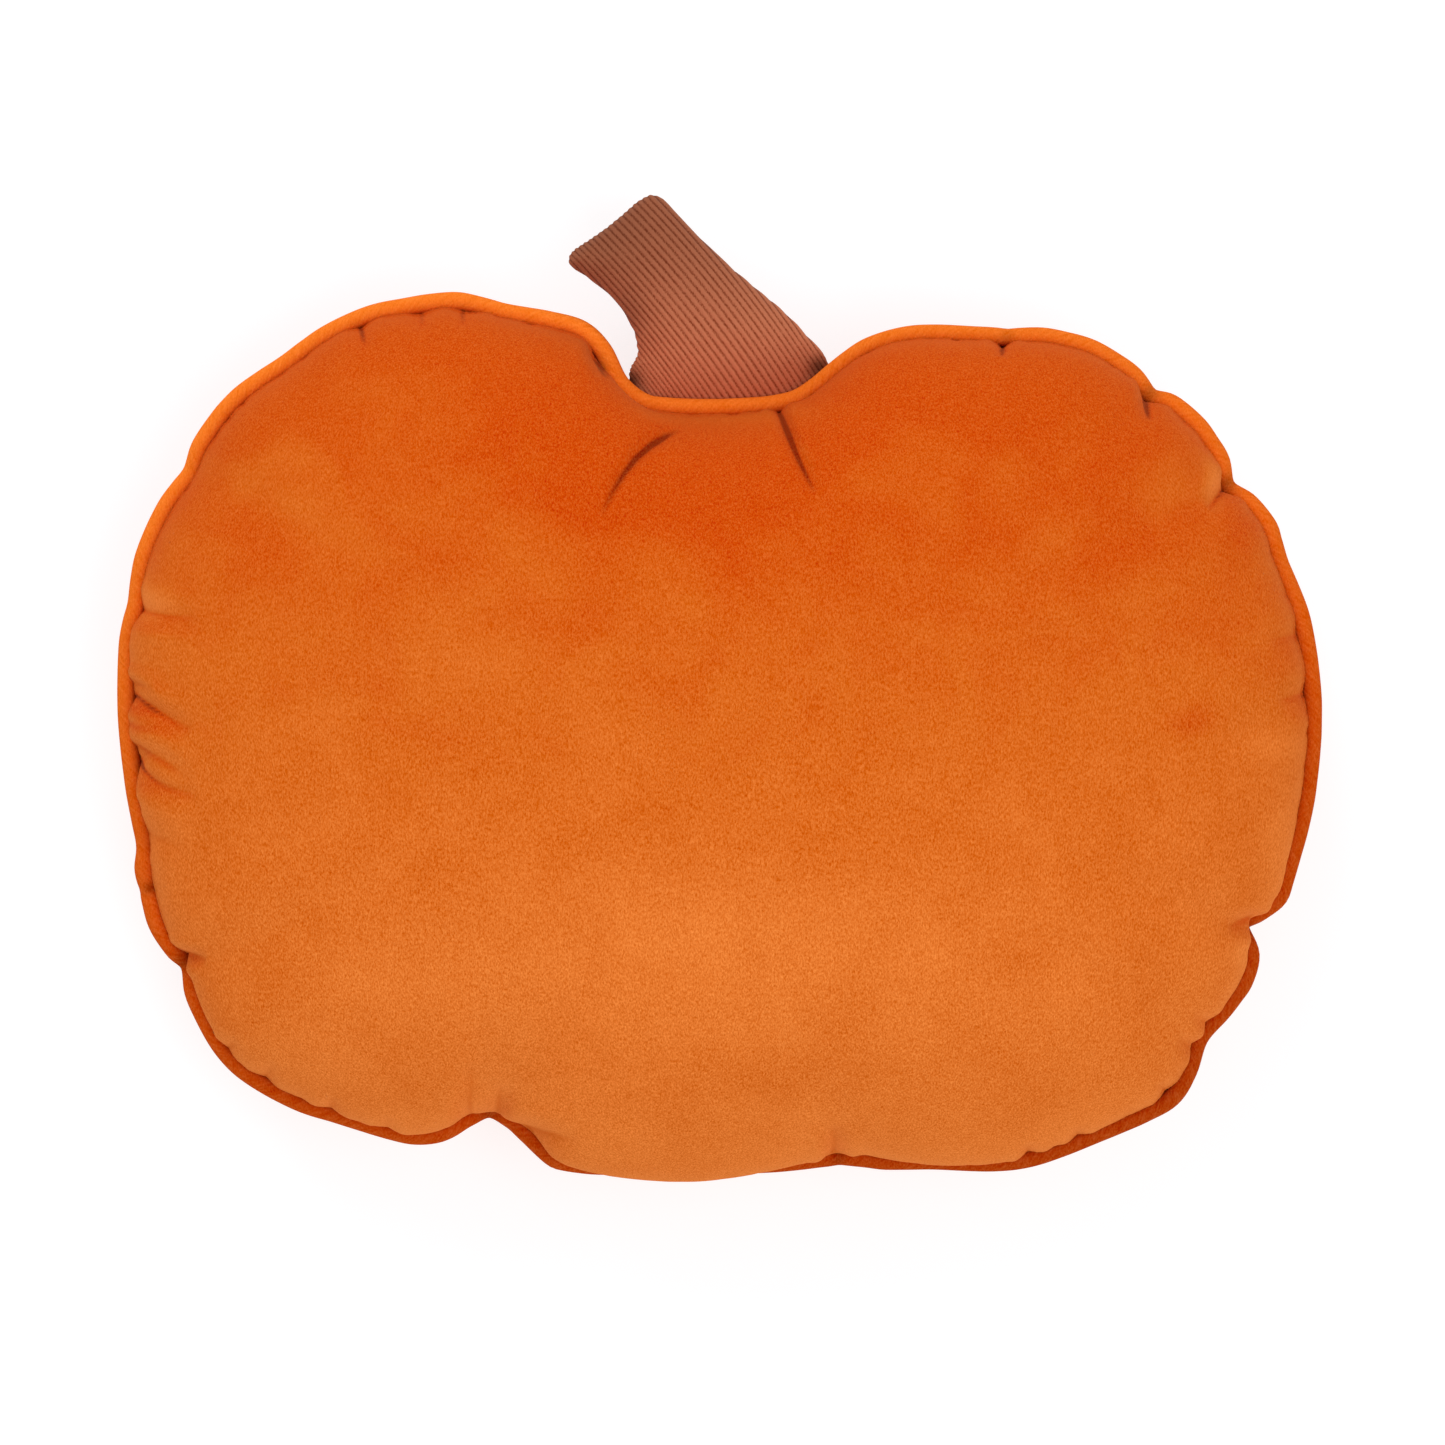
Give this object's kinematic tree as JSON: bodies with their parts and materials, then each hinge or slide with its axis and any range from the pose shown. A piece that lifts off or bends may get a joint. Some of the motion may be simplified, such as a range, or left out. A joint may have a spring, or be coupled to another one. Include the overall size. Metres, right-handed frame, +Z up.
{
  "type": "pumpkin cushion",
  "caption": "Filled velvet cushion with a pumpkin outline, corded piping in its edge seam, and a short stuffed corduroy stem sewn in at a notch.",
  "frame": {"origin": "On the surface that the cushion lies on, under the middle of its whole outline", "axes": "+Z up from the back to the face, +Y towards the stem, +X to the right of the face as seen from above"},
  "size_m": [0.4498, 0.37, 0.136],
  "materials": {
    "velvet": "short orange pile with a soft sheen at its rims",
    "piping_velvet": "the same orange pile, cut on the bias over a cord",
    "corduroy": "brown corduroy with fine raised wales"
  },
  "bodies": {
    "root": {"cushion_body": "velvet", "piping": "piping_velvet", "stem": "corduroy"}
  },
  "joints": []
}
